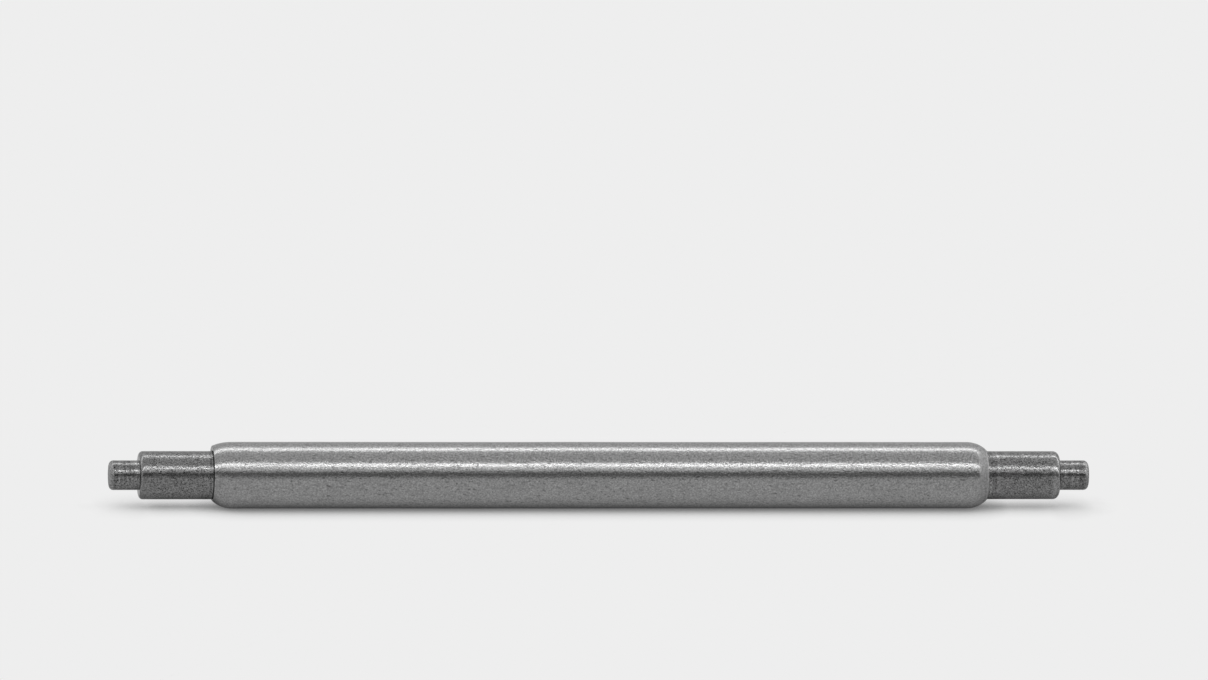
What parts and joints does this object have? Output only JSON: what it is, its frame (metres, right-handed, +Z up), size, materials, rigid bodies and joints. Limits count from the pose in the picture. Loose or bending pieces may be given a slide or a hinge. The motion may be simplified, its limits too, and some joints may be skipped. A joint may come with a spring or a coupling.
{
  "type": "spring bar",
  "caption": "Spring bar with stepped ends: a thin steel tube with rolled-in rims holds sprung plungers whose tips fit the lug holes.",
  "frame": {"origin": "the bar's centre, on its axis", "axes": "+X along the bar towards the right plunger, +Z up as it lies"},
  "size_m": [0.0266, 0.0018, 0.0018],
  "materials": {
    "tube_steel": "drawn stainless tube, satin, with fine grain",
    "pin_steel": "turned stainless, a little darker and coarser",
    "spring_steel": "drawn spring wire"
  },
  "bodies": {
    "barrel": {"barrel": "tube_steel"},
    "spring": {"spring": "spring_steel"},
    "left_plunger": {"left_plunger": "pin_steel"},
    "right_plunger": {"right_plunger": "pin_steel"}
  },
  "joints": [
    {"name": "spin", "type": "hinge", "parent": "barrel", "child": "spring", "pos_m": [0, 0, 0], "axis": [1, 0, 0], "continuous": true},
    {"name": "left_press", "type": "slide", "parent": "spring", "child": "left_plunger", "axis": [1, 0, 0], "range_m": [0, 0.0016], "stiffness_N_per_m": 340, "deforming": ["spring"]},
    {"name": "right_press", "type": "slide", "parent": "spring", "child": "right_plunger", "axis": [-1, 0, 0], "range_m": [0, 0.0016], "stiffness_N_per_m": 340, "deforming": ["spring"]}
  ]
}
